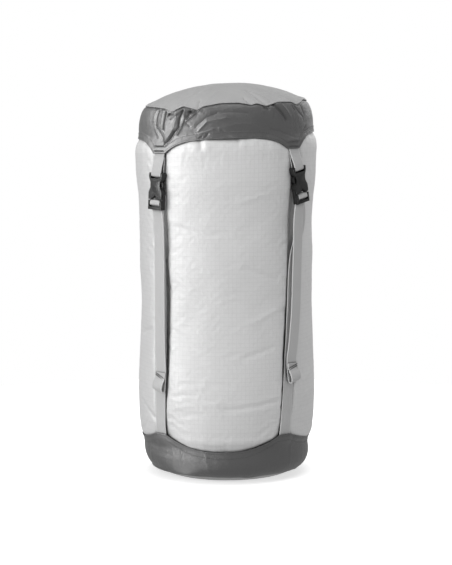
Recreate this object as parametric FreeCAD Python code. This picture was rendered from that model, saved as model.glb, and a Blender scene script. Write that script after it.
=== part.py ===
import FreeCAD, Part
import math
import os

# Compression sack, standing on its base, stuffed and cinched.  Millimetres, +Z up.
# The origin is on the floor under the middle of the base.  The front faces -Y.

# ---- driving dimensions -------------------------------------------------------------
CLOTH = 1.2                 # coated nylon with its seam allowance
WALL = 1.6                  # stuffed body wall
DOME_TOP_Z = 467.0          # highest point of the lid
DOME_EDGE_Z = 442.2         # seam between the lid's top panel and its ring
DOME_RADIUS = 97.2
HEM_Z = 402.0               # lower edge of the lid ring half way between two tabs
LID_TAB_Z = 387.8           # lower end of the lid's strap tabs
BASE_HEM_Z = 40.0           # upper edge of the base ring half way between two tabs
BASE_TAB_Z = 56.5           # upper end of the base ring's strap tabs
LID_ARCH = 4.0              # how square the arches between the lid's tabs are
BASE_ARCH = 2.6             # the same for the base ring, whose arches are rounder
WEBBING_WIDTH = 16.0
WEBBING_THICK = 1.4
BUCKLE_BOTTOM_Z = 323.5     # lower end of the buckles, before each strap's own offset
BUCKLE_BACK_R = 108.5       # distance from the sack's axis to the back of the buckles
COLLAR_TOP_Z = 448.7        # the gathered mouth cloth, a low dome under the lid
COLLAR_RISE = 13.3
COLLAR_OUTER_R = 95.0
NECK_R = 19.5
CHANNEL_R = 23.5            # drawcord channel, a ring round the neck
CHANNEL_Z = 453.4
LOCK_Y = -38.5              # cord lock's middle, in front of the neck
LOCK_RADIUS = 6.0
CORD_RADIUS = 1.3
CORD_SPACING = 1.9          # half the distance between the two cord ends

# One entry per strap: azimuths of the lid tab, of the hanging buckle and of the base tab
# (0 is the front, positive to the right), lean and height offset of the buckle, and azimuth
# and height of the tail's free end.
STRAPS = {
    "front_left": dict(lid=-45.0, hang=-44.9, base=-46.0, lean=-3.0, rise=-3.5,
                       tail=-43.4, tail_end=108.0),
    "front_right": dict(lid=45.0, hang=48.0, base=41.0, lean=11.0, rise=3.5,
                        tail=44.0, tail_end=119.0),
    "back_left": dict(lid=-135.0, hang=-133.8, base=-134.0, lean=3.0, rise=-3.5,
                      tail=-134.6, tail_end=112.0),
    "back_right": dict(lid=135.0, hang=134.0, base=135.0, lean=-2.0, rise=3.5,
                       tail=135.2, tail_end=116.0),
}

# ---- buckle, measured from its lower end, its middle line and its back ---------------
BUCKLE_LENGTH = 42.5
BUCKLE_HALF_WIDTH = 11.0
BUCKLE_THICK = 7.0
LADDER_HALF_GAP = 8.6
END_BAR_TOP = 3.0
CENTRE_BAR = (6.0, 9.4)
SHOULDER = (13.0, 17.0)
SOCKET_FRONT_BOTTOM = 11.8
SOCKET_BACK_BOTTOM = 17.4
CHANNEL_HALF_WIDTH = 8.8
WEB_ROD_Z = 40.4
WEB_ROD_R = 1.6
PINCH_PIVOT = (5.8, 17.2)   # where each release arm flexes, across and along the buckle

UP = FreeCAD.Vector(0, 0, 1)
ORIGIN = FreeCAD.Vector(0, 0, 0)


# ---- helpers ------------------------------------------------------------------------
def face_of(points):
    """Flat face in the XZ plane inside a closed outline of (x, z) points."""
    corners = [FreeCAD.Vector(x, 0, z) for x, z in points]
    return Part.Face(Part.makePolygon(corners + [corners[0]]))


def turned(outline, sweep=360.0, start=0.0):
    """Solid of revolution round Z from an outline of (radius, z) points."""
    solid = face_of(outline).revolve(ORIGIN, UP, sweep)
    solid.rotate(ORIGIN, UP, start)
    return solid


def inset(points, thickness):
    """The points moved to the inner side, to the left of the downward direction."""
    moved = []
    for i, (r, z) in enumerate(points):
        before = points[max(i - 1, 0)]
        after = points[min(i + 1, len(points) - 1)]
        dr = after[0] - before[0]
        dz = after[1] - before[1]
        length = math.hypot(dr, dz)
        moved.append((r - thickness * dz / length, z + thickness * dr / length))
    return moved


def shell(points, thickness, sweep=360.0, start=0.0):
    """Skin of revolution whose outer face runs up through (radius, z) points."""
    return turned(points + list(reversed(inset(points, thickness))), sweep, start)


def box(x, y, z):
    """Box between pairs of limits."""
    return Part.makeBox(x[1] - x[0], y[1] - y[0], z[1] - z[0], FreeCAD.Vector(x[0], y[0], z[0]))


def slab(outline, y):
    """Outline of (x, z) points given a thickness between two y values."""
    solid = face_of(outline).extrude(FreeCAD.Vector(0, y[1] - y[0], 0))
    solid.translate(FreeCAD.Vector(0, y[0], 0))
    return solid


def ribbon(path):
    """Flat webbing along (azimuth, sideways offset, radius, z, lean) points.

    The lean turns the width of a section about the outward direction, in degrees.
    """
    half = WEBBING_WIDTH / 2
    sections = []
    for i, (azimuth, offset, radius, z, lean) in enumerate(path):
        before = path[max(i - 1, 0)]
        after = path[min(i + 1, len(path) - 1)]
        dr = after[2] - before[2]
        dz = after[3] - before[3]
        length = math.hypot(dr, dz)
        turn = math.radians(azimuth)
        outward = FreeCAD.Vector(math.sin(turn), -math.cos(turn), 0)
        right = FreeCAD.Vector(math.cos(turn), math.sin(turn), 0)
        lean = math.radians(lean)
        across = (right * math.cos(lean) + UP * math.sin(lean)) * half
        out = (outward * (dz / length) - UP * (dr / length)) * (WEBBING_THICK / 2)
        middle = outward * radius + right * offset + UP * z
        corners = [middle + across + out, middle - across + out,
                   middle - across - out, middle + across - out]
        sections.append(Part.makePolygon(corners + [corners[0]]))
    return Part.makeLoft(sections, True, True)


def on_buckle(strap, along, out):
    """Ribbon point on the buckle's middle line, at a height along it and a depth."""
    lean = math.radians(strap["lean"])
    middle = BUCKLE_LENGTH / 2
    rise = along - middle
    z = BUCKLE_BOTTOM_Z + strap["rise"] + middle + rise * math.cos(lean)
    return (strap["hang"], -rise * math.sin(lean), BUCKLE_BACK_R + out, z, strap["lean"])


def at_buckle(solid, strap):
    """Place a solid built upright with its lower end at z = 0 as a piece of the buckle."""
    placed = solid.copy()
    middle = FreeCAD.Vector(0, 0, BUCKLE_LENGTH / 2)
    placed.rotate(middle, FreeCAD.Vector(0, -1, 0), strap["lean"])
    placed.translate(FreeCAD.Vector(0, 0, BUCKLE_BOTTOM_Z + strap["rise"]))
    placed.rotate(ORIGIN, UP, strap["hang"])
    return placed


def depth(inner, outer):
    """y limits of a slice of the buckle, from distances in front of its back."""
    return (-BUCKLE_BACK_R - outer, -BUCKLE_BACK_R - inner)


def scallops(azimuths, tab_half_angle, radius, middle_z, tab_z, arch):
    """Cutters that leave strap tabs on a ring and an arched edge between them."""
    away = 60.0 if middle_z < tab_z else -60.0
    cutters = []
    ordered = sorted(azimuths)
    for i, azimuth in enumerate(ordered):
        following = ordered[(i + 1) % len(ordered)]
        span = (following - azimuth) % 360
        half = radius * math.sin(math.radians(span / 2 - tab_half_angle))
        edge = []
        for step in range(-8, 9):
            share = step / 8
            edge.append((half * share, middle_z + (tab_z - middle_z) * abs(share) ** arch))
        outline = edge + [(half, tab_z + away), (-half, tab_z + away)]
        if away < 0:
            outline = list(reversed(outline))
        cutter = slab(outline, (-130.0, -30.0))
        cutter.rotate(ORIGIN, UP, azimuth + span / 2)
        cutters.append(cutter)
    return cutters


# ---- sewn body ----------------------------------------------------------------------
WALL_LINE = [(92.3, 16), (95.2, 24), (96.2, 36), (98, 43), (102, 50), (103.6, 60), (105.1, 95),
             (103.8, 145), (102.3, 195), (102.6, 260), (102.9, 310), (105.6, 352), (107.4, 380),
             (107.3, 391), (104.6, 400), (103, 405), (101, 420), (95.2, 434)]


def base_panel():
    return turned([(0, 0), (62, 0), (78, 2), (88.5, 6.6), (87.9, 7.7), (77.6, 3.2), (61.9, CLOTH),
                   (0, CLOTH)])


def base_ring():
    line = [(90.2, 6.2), (97, 14), (100.2, 26), (100.7, 36), (101.5, 40.5), (106, 49.5),
            (107.4, BASE_TAB_Z)]
    ring = shell(line, CLOTH)
    azimuths = [strap["base"] for strap in STRAPS.values()]
    for cutter in scallops(azimuths, 5.5, 106.0, BASE_HEM_Z, BASE_TAB_Z, BASE_ARCH):
        ring = ring.cut(cutter)
    return ring


def base_binding():
    return Part.makeTorus(86.5, 1.4, FreeCAD.Vector(0, 0, 9.6))


def sack_wall():
    return shell(WALL_LINE, WALL)


def wall_seam_tape():
    tape_half_angle = 3.3
    line = [(r + 1.1, z) for r, z in WALL_LINE if 60 <= z <= 391]
    return shell(line, 0.8, 2 * tape_half_angle, 90 - tape_half_angle)


# ---- gathered mouth and its drawcord ------------------------------------------------
def mouth_collar():
    line = []
    for radius in (COLLAR_OUTER_R, 85, 75, 60, 45, 30, NECK_R):
        line.append((radius, COLLAR_TOP_Z - COLLAR_RISE * (radius / COLLAR_OUTER_R) ** 2))
    return shell(line, 1.0)


def drawcord_channel():
    centre = FreeCAD.Vector(0, 0, CHANNEL_Z)
    tube = Part.makeTorus(CHANNEL_R, 4.6, centre).cut(Part.makeTorus(CHANNEL_R, 3.4, centre))
    exit_gap = CORD_SPACING + CORD_RADIUS + 0.6
    return tube.cut(box((-exit_gap, exit_gap), (-CHANNEL_R - 6, -CHANNEL_R - 1.5),
                        (CHANNEL_Z - 2.2, CHANNEL_Z + 2.2)))


def drawcord():
    ring = Part.makeTorus(CHANNEL_R, CORD_RADIUS, FreeCAD.Vector(0, 0, CHANNEL_Z))
    knot = Part.makeSphere(3.0, FreeCAD.Vector(0, -58.5, CHANNEL_Z - 0.5))
    cord = ring.fuse(knot)
    for side in (-1, 1):
        start = FreeCAD.Vector(side * CORD_SPACING, -CHANNEL_R + 0.1, CHANNEL_Z)
        cord = cord.fuse(Part.makeCylinder(CORD_RADIUS, 34.0, start, FreeCAD.Vector(0, -1, 0)))
    return cord


def lock_rod(radius, x):
    """Cylinder lying across the cord ends, between two x values."""
    start = FreeCAD.Vector(x[0], LOCK_Y, CHANNEL_Z)
    return Part.makeCylinder(radius, x[1] - x[0], start, FreeCAD.Vector(1, 0, 0))


def lock_slot(x, half_height):
    """Passage for the two cord ends through the cord lock."""
    return box(x, (LOCK_Y - 8, LOCK_Y + 8), (CHANNEL_Z - half_height, CHANNEL_Z + half_height))


def cord_lock_barrel():
    barrel = lock_rod(LOCK_RADIUS, (-14, 8)).cut(lock_rod(4.4, (-12.6, 9)))
    return barrel.cut(lock_slot((-3.7, 3.7), 1.7))


def cord_lock_plunger():
    return lock_rod(4.2, (-7.6, 12)).cut(lock_slot((-3.6, 6.7), 1.7))


def cord_lock_spring():
    coils = []
    for i in range(2):
        coils.append(Part.makeTorus(3.2, 0.5, FreeCAD.Vector(-12.0 + 1.1 * i, LOCK_Y, CHANNEL_Z),
                                    FreeCAD.Vector(1, 0, 0)))
    return Part.makeCompound(coils)


# ---- lid ----------------------------------------------------------------------------
def lid_panel():
    steps = 12
    line = []
    for step in range(steps, -1, -1):
        share = step / steps
        rise = DOME_TOP_Z - DOME_EDGE_Z
        line.append((DOME_RADIUS * share, DOME_TOP_Z - rise * share ** 2.2))
    inner = inset(line, CLOTH)
    inner[-1] = (0.0, DOME_TOP_Z - CLOTH)
    return turned(line + list(reversed(inner)))


def lid_ring():
    line = [(111.4, LID_TAB_Z), (111.1, 391), (109.8, 397), (106.2, HEM_Z), (104.9, 412),
            (102.6, 424), (99.3, 435), (97.0, 440.4)]
    ring = shell(line, CLOTH)
    azimuths = [strap["lid"] for strap in STRAPS.values()]
    for cutter in scallops(azimuths, 5.5, 108.0, HEM_Z, LID_TAB_Z, LID_ARCH):
        ring = ring.cut(cutter)
    return ring


def lid_binding():
    return Part.makeTorus(93.6, 1.3, FreeCAD.Vector(0, 0, 438.9))


def lid_loop(strap):
    """Webbing sewn under the lid's tab and doubled round the buckle's rod."""
    azimuth = strap["lid"]
    reach = WEB_ROD_R + 0.35 + WEBBING_THICK / 2
    rod_out = BUCKLE_THICK / 2
    under_tab = LID_TAB_Z - 1.5
    quarter = azimuth * 0.75 + strap["hang"] * 0.25
    path = [(azimuth, 0, 107.1, 397, 0), (azimuth, 0, 108.5, 390.5, 0),
            (azimuth, 0, 109.2, under_tab, 0), on_buckle(strap, WEB_ROD_Z + 1, rod_out + reach)]
    for step in range(1, 6):
        angle = math.radians(36 * step)
        along = WEB_ROD_Z - reach * math.sin(angle)
        path.append(on_buckle(strap, along, rod_out + reach * math.cos(angle)))
    path.append((quarter, 0, 108.5, under_tab - 5.5, strap["lean"] * 0.3))
    return ribbon(path)


# ---- buckle halves ------------------------------------------------------------------
def buckle_socket(strap):
    """Female half: a flat sleeve, waisted at its side windows, with an open web end."""
    half = BUCKLE_HALF_WIDTH
    outline = [(-half, SOCKET_FRONT_BOTTOM), (half, SOCKET_FRONT_BOTTOM), (half, 20), (7.8, 25.5),
               (7.8, 31), (half, 38), (half, BUCKLE_LENGTH), (-half, BUCKLE_LENGTH), (-half, 38),
               (-7.8, 31), (-7.8, 25.5), (-half, 20)]
    sleeve = slab(outline, depth(0, BUCKLE_THICK))
    sleeve = sleeve.cut(box((-CHANNEL_HALF_WIDTH, CHANNEL_HALF_WIDTH), depth(1.1, 5.3),
                            (SOCKET_FRONT_BOTTOM - 1, 35)))
    sleeve = sleeve.cut(box((-12, 12), depth(-1, 5.3), (10, SOCKET_BACK_BOTTOM)))
    chevron = [(-6.5, SOCKET_FRONT_BOTTOM - 0.1), (6.5, SOCKET_FRONT_BOTTOM - 0.1), (0, 16.2)]
    sleeve = sleeve.cut(slab(chevron, depth(5.0, 8.0)))
    sleeve = sleeve.cut(box((-8.5, 8.5), depth(-1, 8), (36, 44)))
    rod_start = FreeCAD.Vector(-9, -BUCKLE_BACK_R - BUCKLE_THICK / 2, WEB_ROD_Z)
    rod = Part.makeCylinder(WEB_ROD_R, 18, rod_start, FreeCAD.Vector(1, 0, 0))
    return at_buckle(sleeve.fuse(rod).removeSplitter(), strap)


def buckle_plug(strap):
    """Male half: ladder bars for the strap, a shoulder and a guide prong."""
    half = BUCKLE_HALF_WIDTH
    plug = box((-half, half), depth(4.2, BUCKLE_THICK), (0, END_BAR_TOP))
    plug = plug.fuse(box((-9, 9), depth(2.9, 5.0), CENTRE_BAR))
    plug = plug.fuse(box((-half, half), depth(0.5, 4.7), SHOULDER))
    plug = plug.fuse(box((-1.5, 1.5), depth(2.0, 4.6), (SHOULDER[1] - 1, 36 - 1.5)))
    for side in (-1, 1):
        x = sorted((side * LADDER_HALF_GAP, side * half))
        plug = plug.fuse(box(x, depth(0.5, BUCKLE_THICK), (0, 10.7)))
        plug = plug.fuse(box(x, depth(0.5, 4.7), (10, SHOULDER[1])))
    return at_buckle(plug.removeSplitter(), strap)


def buckle_arm(strap, side):
    """One release arm of the male half, with the pad that fills the side window."""
    outline = [(4.2, 17.5), (7.2, 17.5), (8.2, 21), (8.3, 23.4), (10.4, 26.5), (10.4, 30.3),
               (8.3, 32.6), (8.2, 34.3), (5.2, 34.3), (6.4, 31), (6.2, 25), (4.2, 20.5)]
    arm = slab([(side * x, z) for x, z in outline], depth(1.6, 4.8))
    return at_buckle(arm, strap)


# ---- strap --------------------------------------------------------------------------
def base_strap(strap):
    """Anchored run, from under the base ring up to the buckle's ladder."""
    foot = strap["base"]
    high = foot * 0.35 + strap["hang"] * 0.65
    low = foot * 0.85 + strap["hang"] * 0.15
    path = [(foot, 0, 97.6, 33, 0), (foot, 0, 97.9, 38.5, 0), (foot, 0, 103.3, 50, 0),
            (foot, 0, 104.8, 60, 0), (low, 0, 106.9, 95, 0),
            (high, 0, 108.9, 235, strap["lean"] * 0.2), on_buckle(strap, -4, 1.2),
            on_buckle(strap, 0, 1.4), on_buckle(strap, CENTRE_BAR[1] - 0.9, 1.4)]
    return ribbon(path)


def strap_tail(strap):
    """Free run, from over the ladder's middle bar down to the folded pull loop."""
    ladder = [(10.5, 3.6), (10.5, 5.1), (9.9, 6.15), (5.2, 6.05), (4.7, 4.0), (4.0, 3.15),
              (0.0, 3.15), (-7.0, 3.4)]
    path = [on_buckle(strap, along, out) for along, out in ladder]
    end = strap["tail_end"]
    low = strap["tail"]
    middle = low * 0.7 + strap["hang"] * 0.3
    half_way = 0.5 * (BUCKLE_BOTTOM_Z + end)
    path.append((middle, 0, BUCKLE_BACK_R + 2.7, half_way, 0))
    fold = [(1.6, 19), (1.6, 7), (2.4, 1.9), (4.2, 0.9), (5.7, 3.0), (5.6, 8), (3.3, 18.6)]
    for out, rise in fold:
        path.append((low, 0, BUCKLE_BACK_R + out, end + rise, 0))
    return ribbon(path)


# ---- write one file per piece --------------------------------------------------------
def all_pieces():
    pieces = {
        "base_panel": base_panel(), "base_ring": base_ring(), "base_binding": base_binding(),
        "sack_wall": sack_wall(), "wall_seam_tape": wall_seam_tape(),
        "mouth_collar": mouth_collar(), "drawcord_channel": drawcord_channel(),
        "drawcord": drawcord(), "cord_lock_barrel": cord_lock_barrel(),
        "cord_lock_plunger": cord_lock_plunger(), "cord_lock_spring": cord_lock_spring(),
        "lid_panel": lid_panel(), "lid_ring": lid_ring(), "lid_binding": lid_binding(),
    }
    for name, strap in STRAPS.items():
        pieces["base_strap_" + name] = base_strap(strap)
        pieces["strap_tail_" + name] = strap_tail(strap)
        pieces["lid_loop_" + name] = lid_loop(strap)
        pieces["buckle_socket_" + name] = buckle_socket(strap)
        pieces["buckle_plug_" + name] = buckle_plug(strap)
        pieces["buckle_arm_left_" + name] = buckle_arm(strap, -1)
        pieces["buckle_arm_right_" + name] = buckle_arm(strap, 1)
    return pieces


os.makedirs("parts", exist_ok=True)
for node, shape in all_pieces().items():
    shape.exportStep("parts/" + node + ".step")
    print(node, shape.isValid(), len(shape.Solids), round(shape.Volume, 1), "mm3")
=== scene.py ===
import math

import bpy
import numpy as np
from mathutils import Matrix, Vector


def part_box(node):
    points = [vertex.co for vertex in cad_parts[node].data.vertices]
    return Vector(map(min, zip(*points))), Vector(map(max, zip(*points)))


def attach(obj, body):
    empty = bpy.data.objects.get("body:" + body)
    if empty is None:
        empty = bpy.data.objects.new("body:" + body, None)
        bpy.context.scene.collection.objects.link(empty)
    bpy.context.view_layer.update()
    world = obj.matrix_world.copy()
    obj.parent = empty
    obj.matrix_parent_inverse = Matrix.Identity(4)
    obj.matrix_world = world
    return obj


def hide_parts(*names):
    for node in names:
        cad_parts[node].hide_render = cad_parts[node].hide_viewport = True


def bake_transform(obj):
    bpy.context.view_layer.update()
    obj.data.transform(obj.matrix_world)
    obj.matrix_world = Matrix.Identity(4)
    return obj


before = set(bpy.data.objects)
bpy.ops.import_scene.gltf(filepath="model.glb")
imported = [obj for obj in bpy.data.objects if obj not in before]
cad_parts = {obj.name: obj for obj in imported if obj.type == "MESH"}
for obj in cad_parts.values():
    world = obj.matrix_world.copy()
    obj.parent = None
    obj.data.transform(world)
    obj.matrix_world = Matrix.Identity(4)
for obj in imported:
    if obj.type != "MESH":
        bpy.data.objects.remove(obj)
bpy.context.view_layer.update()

# ---- sizes taken from the frame, in metres --------------------------------------------
MM = 0.001
STRAP_NAMES = ("front_left", "front_right", "back_left", "back_right")
WALL_LOW, WALL_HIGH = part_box("sack_wall")
RING_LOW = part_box("lid_ring")[0]
DOME_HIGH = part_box("lid_panel")[1]
BASE_LOW, BASE_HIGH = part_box("base_ring")
PANEL_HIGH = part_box("base_panel")[1]
COLLAR_LOW, COLLAR_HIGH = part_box("mouth_collar")
NECK_LOW, NECK_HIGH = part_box("drawcord_channel")
WALL_R = WALL_HIGH.x
LID_TILT = 0.037             # the lid sits lower on the left, as a slope across x
WALL_FIXED_Z = BASE_HIGH.z   # top of the base ring; the low end of the band given in SINKING, which finish_piece does not read
SHOULDER_Z = 0.374           # the high end of that band
SINKING = ("sack", "mouth", WALL_FIXED_Z, SHOULDER_Z)


def node_azimuth(node):
    """Direction of a CAD node's middle from the axis: 0 at the front, positive right."""
    low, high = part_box(node)
    middle = (low + high) / 2
    return math.atan2(middle.x, -middle.y)


HANG = {name: node_azimuth("buckle_plug_" + name) for name in STRAP_NAMES}
LID_TABS = [math.radians(a) for a in (-44.5, 45.5, -135.0, 135.0)]
BASE_TABS = [math.radians(a) for a in (-46.5, 41.0, -134.0, 135.0)]


# One entry per strap: lid tab, base tab, the buckle's lean in degrees, then the azimuth in
# degrees of the anchored run and of the free tail at some heights in mm, how far the pull
# loop swings sideways in mm and how much it is turned, and the slant of its bar tack.
STRAPS = {
    "front_left": dict(lid=LID_TABS[0], base=BASE_TABS[0], lean=-3.0,
                       run=((60, -46.4), (100, -45.8), (130, -45.4), (320, -45.4)),
                       tail=((110, -43.2), (315, -43.7)), kick=-2.6, turn=-15.0, tack=-24.0),
    "front_right": dict(lid=LID_TABS[1], base=BASE_TABS[1], lean=11.0,
                        run=((60, 41.0), (88, 41.8), (110, 42.5), (134, 44.0), (157, 44.7),
                             (203, 46.1), (226, 47.0), (273, 47.9), (320, 48.2)),
                        tail=((120, 43.2), (134, 43.6), (157, 44.4), (180, 45.3), (203, 46.6),
                              (226, 47.0), (273, 48.0), (300, 48.2)),
                        kick=4.0, turn=15.0, tack=17.0),
    "back_left": dict(lid=LID_TABS[2], base=BASE_TABS[2], lean=3.0,
                      run=((60, -134.0), (320, -133.8)),
                      tail=((112, -134.6), (320, -133.9)), kick=1.5, turn=6.0, tack=9.0),
    "back_right": dict(lid=LID_TABS[3], base=BASE_TABS[3], lean=-2.0,
                       run=((60, 135.0), (320, 134.0)),
                       tail=((116, 135.2), (320, 134.2)), kick=-2.0, turn=-8.0, tack=-12.0),
}


# ---- small tools ----------------------------------------------------------------------
def smooth_curve(points):
    """Function through (x, y) points with no corners."""
    xs = np.array([p[0] for p in points], float)
    ys = np.array([p[1] for p in points], float)
    slopes = np.gradient(ys, xs)

    def value(x):
        x = np.clip(x, xs[0], xs[-1])
        i = np.clip(np.searchsorted(xs, x) - 1, 0, len(xs) - 2)
        step = xs[i + 1] - xs[i]
        t = (x - xs[i]) / step
        a = 2 * t ** 3 - 3 * t ** 2 + 1
        b = t ** 3 - 2 * t ** 2 + t
        c = 3 * t ** 2 - 2 * t ** 3
        d = t ** 3 - t ** 2
        return a * ys[i] + b * step * slopes[i] + c * ys[i + 1] + d * step * slopes[i + 1]

    return value


def smoothstep(low, high, x):
    t = np.clip((x - low) / (high - low), 0, 1)
    return t * t * (3 - 2 * t)


def ripple(turns, height, cells, step, seed):
    """Soft random relief from -1 to 1 that closes up round the sack."""
    rng = np.random.default_rng(seed)
    rows = 97
    lattice = rng.uniform(-1, 1, (rows, cells))
    bend = 0.45 * np.sin(2.1 * height / step + seed)
    y = height / step + 0.45 * np.sin(2 * math.pi * turns * max(1, cells // 5) + seed)
    x = (turns % 1.0) * cells + bend
    i = np.floor(x).astype(int)
    j = np.floor(y).astype(int)
    fx = x - i
    fy = y - j
    fx = fx ** 3 * (fx * (6 * fx - 15) + 10)
    fy = fy ** 3 * (fy * (6 * fy - 15) + 10)
    below = lattice[j % rows, i % cells] * (1 - fx) + lattice[j % rows, (i + 1) % cells] * fx
    above = (lattice[(j + 1) % rows, i % cells] * (1 - fx)
             + lattice[(j + 1) % rows, (i + 1) % cells] * fx)
    return below * (1 - fy) + above * fy


def wrapped(angle):
    """Angle brought between -pi and pi."""
    return (angle + math.pi) % (2 * math.pi) - math.pi


def folds(azimuth, z, lines, radius):
    """Relief of listed folds: (points in degrees and mm, height in mm, width in mm)."""
    relief = np.zeros_like(z)
    for points, height, width in lines:
        nearest = np.full_like(z, 1e9)
        for (a0, z0), (a1, z1) in zip(points, points[1:]):
            start = math.radians(a0)
            x = wrapped(azimuth - start) * radius
            y = z - z0 * MM
            dx = math.radians(a1 - a0) * radius
            dy = (z1 - z0) * MM
            t = np.clip((x * dx + y * dy) / (dx * dx + dy * dy), 0, 1)
            nearest = np.minimum(nearest, np.hypot(x - t * dx, y - t * dy))
        spread = nearest / (width * MM)
        relief += height * MM * np.exp(-spread ** 1.2)
    return relief


def mesh_object(name, verts, faces, cloth=None, smooth=True):
    """Mesh with an optional per-point cloth coordinate: across and along, in metres."""
    mesh = bpy.data.meshes.new(name)
    mesh.from_pydata(np.asarray(verts).tolist(), [], faces)
    mesh.update()
    if smooth:
        mesh.polygons.foreach_set("use_smooth", [True] * len(mesh.polygons))
    if cloth is not None:
        layer = mesh.attributes.new("cloth", "FLOAT_VECTOR", "POINT")
        layer.data.foreach_set("vector", np.asarray(cloth, np.float32).ravel())
    piece = bpy.data.objects.new(name, mesh)
    bpy.context.scene.collection.objects.link(piece)
    return piece


def table(rows, columns):
    """Grids of a value that changes down the rows and one that changes along them."""
    return np.meshgrid(rows, columns, indexing="ij")


def around(count, endpoint=True):
    return np.linspace(-math.pi, math.pi, count, endpoint=endpoint)


def turn_steps(count):
    return np.linspace(0, 2 * math.pi, count, endpoint=False)


def grid_faces(rows, columns, closed=False, ring=False):
    """Quads of a grid whose points are numbered row by row; ring joins its two end rows."""
    i, j = table(np.arange(rows if ring else rows - 1),
                 np.arange(columns if closed else columns - 1))
    here, there, after = i * columns, (i + 1) % rows * columns, (j + 1) % columns
    faces = np.stack([here + j, here + after, there + after, there + j], -1).reshape(-1, 4)
    return faces.tolist()


def prism_faces(count, rows=2):
    """Faces of a closed tube of rows of points with both ends capped."""
    last = rows * count
    caps = [list(range(count)), list(range(last - 1, last - count - 1, -1))]
    return caps + [[b, a, d, c] for a, b, c, d in grid_faces(rows, count, True)]


def round_grid(azimuth, radius, z):
    """Points from grids of azimuth, radius and height."""
    return np.stack([radius * np.sin(azimuth), -radius * np.cos(azimuth), z], -1)


def skin(name, azimuth, radius, z, thickness, along=None, settled=None):
    """Cloth round the sack from grids of azimuth, radius and height, with a real edge.

    settled holds the arguments of a cloth simulation, applied before the cloth is thickened.
    """
    rows, columns = azimuth.shape
    points = round_grid(azimuth, radius, z)
    if along is None:
        along = z
    cloth = np.stack([azimuth * WALL_R, along, np.zeros_like(z)], -1)
    piece = mesh_object(name, points.reshape(-1, 3), grid_faces(rows, columns),
                        cloth.reshape(-1, 3))
    if settled is not None:
        settle(piece, **settled)
        baked(piece, "SUBSURF", levels=1)
    return baked(piece, "SOLIDIFY", thickness=thickness, offset=-1)


def baked(piece, kind=None, **settings):
    """Apply the piece's modifiers to its mesh, after adding one if a kind is given."""
    if kind is not None:
        step = piece.modifiers.new("step", kind)
        for key, value in settings.items():
            setattr(step, key, value)
    graph = bpy.context.evaluated_depsgraph_get()
    mesh = bpy.data.meshes.new_from_object(piece.evaluated_get(graph))
    piece.modifiers.clear()
    piece.data = mesh
    return piece


def settle(piece, hold, growth, frames):
    """Let a skin settle as cloth: hold gives each point's pull to its drawn place.

    growth is the share of extra cloth, which gathers into wrinkles where hold is low.
    """
    group = piece.vertex_groups.new(name="hold")
    levels = np.round(hold * 50).astype(int)
    for level in np.unique(levels):
        group.add(np.nonzero(levels == level)[0].tolist(), float(level) / 50, "REPLACE")
    cloth = piece.modifiers.new("settle", "CLOTH")
    for key, value in dict(quality=6, mass=0.15, tension_stiffness=12.0,
                           compression_stiffness=12.0, shear_stiffness=4.8,
                           bending_stiffness=0.06, air_damping=3.0, shrink_min=-growth,
                           vertex_group_mass="hold", pin_stiffness=1.0).items():
        setattr(cloth.settings, key, value)
    cloth.settings.effector_weights.gravity = 0.3
    cloth.collision_settings.use_collision = False
    cloth.point_cache.frame_start = 1
    cloth.point_cache.frame_end = frames
    for frame_number in range(1, frames + 1):
        bpy.context.scene.frame_set(frame_number)
    baked(piece)
    bpy.context.scene.frame_set(1)
    piece.vertex_groups.clear()


def lean_with_lid(piece, low=0.0, high=0.001):
    """Shear a piece with the tilt of the lid, fading in between two heights."""
    count = len(piece.data.vertices)
    co = np.empty(count * 3)
    piece.data.vertices.foreach_get("co", co)
    co = co.reshape(-1, 3)
    co[:, 2] += LID_TILT * co[:, 0] * smoothstep(low, high, co[:, 2])
    piece.data.vertices.foreach_set("co", co.ravel())
    piece.data.update()
    return piece


def arched_edge(azimuth, tabs, middles, tab, tab_half_angle, power):
    """Height of a scalloped edge: one middle height per arch (left, front, right, back)."""
    azimuth = np.asarray(azimuth, float)
    order = sorted(tabs)
    edge = np.full_like(azimuth, tab)
    for i, start in enumerate(order):
        middle = middles[i]
        span = (order[(i + 1) % 4] - start) % (2 * math.pi)
        half = span / 2
        offset = np.abs(wrapped(azimuth - start - half))
        inside = offset <= half
        share = np.clip(offset / (half - tab_half_angle), 0, 1)
        value = middle + (tab - middle) * share ** power
        edge = np.where(inside, value, edge)
    return edge


def stitches(name, centres, directions, outs, length, radius):
    """Rows of sewing thread, each stitch a short bead lying on the cloth."""
    centres, directions, outs = (np.asarray(rows, float)[:, None, None]
                                 for rows in (centres, directions, outs))
    shift, swell = np.array([(-0.5, 0.35), (-0.3, 0.95), (0.3, 0.95), (0.5, 0.35)]).T
    shift, swell = shift[:, None, None] * length, swell[:, None, None] * radius
    turn = turn_steps(6)[:, None]
    verts = (centres + directions * shift + np.cross(directions, outs) * np.cos(turn) * swell
             + outs * np.sin(turn) * swell)
    bead = grid_faces(4, 6, True) + [[5, 4, 3, 2, 1, 0], list(range(18, 24))]
    faces = [[24 * k + corner for corner in face] for k in range(len(centres)) for face in bead]
    return mesh_object(name, verts.reshape(-1, 3), faces)


def seam_stitches(name, azimuth, radius, z, pitch, length, thread):
    """Stitches along a closed or open line given by azimuth, radius and height arrays."""
    line = round_grid(azimuth, radius, z)
    steps = np.linalg.norm(np.diff(line, axis=0), axis=1)
    distance = np.concatenate([[0], np.cumsum(steps)])
    places = np.arange(pitch / 2, distance[-1], pitch)
    behind, centres, ahead = (
        np.stack([np.interp(places + shift, distance, line[:, k]) for k in range(3)], 1)
        for shift in (-pitch / 4, 0, pitch / 4))
    directions = unit(ahead - behind)
    outs = unit(centres * np.array([1, 1, 0]))
    outs = unit(outs - directions * np.sum(outs * directions, axis=1)[:, None])
    return stitches(name, centres - outs * thread * 0.3, directions, outs, length, thread)


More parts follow.
